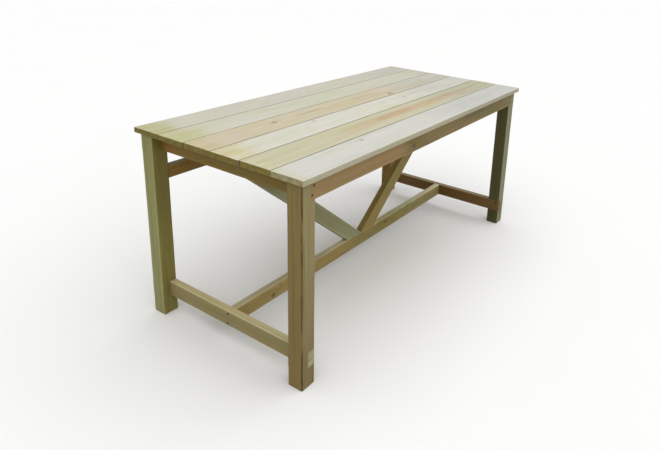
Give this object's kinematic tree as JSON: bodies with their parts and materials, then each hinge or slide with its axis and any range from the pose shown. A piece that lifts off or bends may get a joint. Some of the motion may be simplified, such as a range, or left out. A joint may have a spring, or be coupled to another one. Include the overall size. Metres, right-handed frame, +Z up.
{
  "type": "garden table",
  "caption": "Rectangular garden table in green-tinged treated softwood with a boarded top, square legs, low stretchers and a V of sloping braces",
  "frame": {"origin": "on the floor, under the middle of the top", "axes": "+X along the table to the right, +Y across it towards the back rail, +Z up"},
  "size_m": [1.65, 0.8, 0.75],
  "materials": {
    "board_wood": "pressure-treated pine, planed, pale and weathered",
    "leg_wood": "pressure-treated pine, rough planed, green-tinged",
    "rail_wood": "pressure-treated pine, planed, brown-green",
    "brace_wood": "pressure-treated pine, planed, grey-green",
    "hidden_wood": "pressure-treated pine, sawn",
    "screw_steel": "dulled zinc-plated screw",
    "dowel_wood": "beech dowel"
  },
  "bodies": {
    "root": {"top_board_1": "board_wood", "top_board_2": "board_wood", "top_board_3": "board_wood", "top_board_4": "board_wood", "top_board_5": "board_wood", "top_board_6": "board_wood", "leg_front_left": "leg_wood", "leg_front_right": "leg_wood", "leg_back_left": "leg_wood", "leg_back_right": "leg_wood", "front_apron": "rail_wood", "back_apron": "rail_wood", "end_apron_left": "rail_wood", "end_apron_right": "rail_wood", "end_stretcher_left": "rail_wood", "end_stretcher_right": "rail_wood", "centre_stretcher": "rail_wood", "back_rail": "rail_wood", "brace_left": "brace_wood", "brace_right": "brace_wood", "cross_batten_left": "hidden_wood", "cross_batten_middle": "hidden_wood", "cross_batten_right": "hidden_wood", "cleat_front_left": "hidden_wood", "cleat_back_left": "hidden_wood", "cleat_front_right": "hidden_wood", "cleat_back_right": "hidden_wood", "apron_screws": "screw_steel", "end_apron_screws": "screw_steel", "end_stretcher_screws": "screw_steel", "centre_stretcher_screws": "screw_steel", "brace_foot_screws": "screw_steel", "brace_head_screws": "screw_steel", "cleat_side_screws": "screw_steel", "cleat_screws": "screw_steel", "batten_screws": "screw_steel", "back_rail_dowels": "dowel_wood"}
  },
  "joints": []
}
